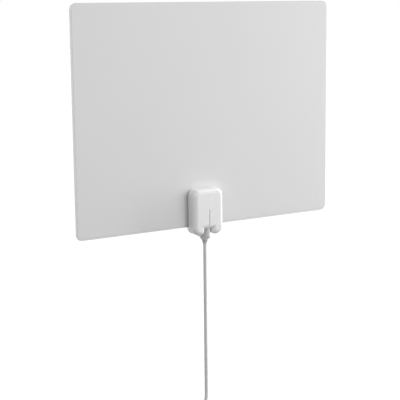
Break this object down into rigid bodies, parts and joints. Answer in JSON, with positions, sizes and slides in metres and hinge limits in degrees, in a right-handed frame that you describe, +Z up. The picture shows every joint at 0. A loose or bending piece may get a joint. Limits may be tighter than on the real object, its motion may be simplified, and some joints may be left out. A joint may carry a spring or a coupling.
{
  "type": "indoor tv antenna",
  "caption": "Flat wall-hung indoor television antenna: laminated sheet with foil elements, two-shell connection pod and thin coaxial lead with push-on plug.",
  "frame": {"origin": "middle of the rear shell's back face, where the pod bears on the wall", "axes": "+Z up, +X to the right as seen from the room, +Y into the wall, the front faces -Y"},
  "size_m": [0.33, 0.0174, 0.5865],
  "materials": {
    "sheet_film": "satin",
    "foil": "bright",
    "pod_white": "gloss",
    "screw_steel": "plated",
    "board": "lacquered",
    "ferrite": "matte",
    "copper_wire": "enamelled",
    "contact_brass": "bright",
    "lead_white": "satin",
    "braid": "woven",
    "insulation": "matte",
    "relief_white": "satin",
    "plug_white": "satin",
    "plug_nickel": "nickel plated"
  },
  "bodies": {
    "root": {"back_film": "sheet_film", "front_film": "sheet_film", "left_element": "foil", "right_element": "foil", "rear_shell": "pod_white", "front_shell": "pod_white", "case_screws": "screw_steel", "circuit_board": "board", "board_screws": "screw_steel", "matching_core": "ferrite", "core_winding": "copper_wire", "left_contact": "contact_brass", "right_contact": "contact_brass", "strain_relief": "relief_white", "lead_jacket": "lead_white", "lead_braid": "braid", "lead_dielectric": "insulation", "lead_wire": "copper_wire", "lead_clamp": "insulation", "clamp_screws": "screw_steel", "cable_drop": "lead_white", "cable_coil": "lead_white", "cable_tie": "insulation", "cable_tail": "lead_white", "plug_grip": "plug_white", "plug_shell": "plug_nickel", "plug_insulator": "insulation", "plug_pin": "plug_nickel"}
  },
  "joints": []
}
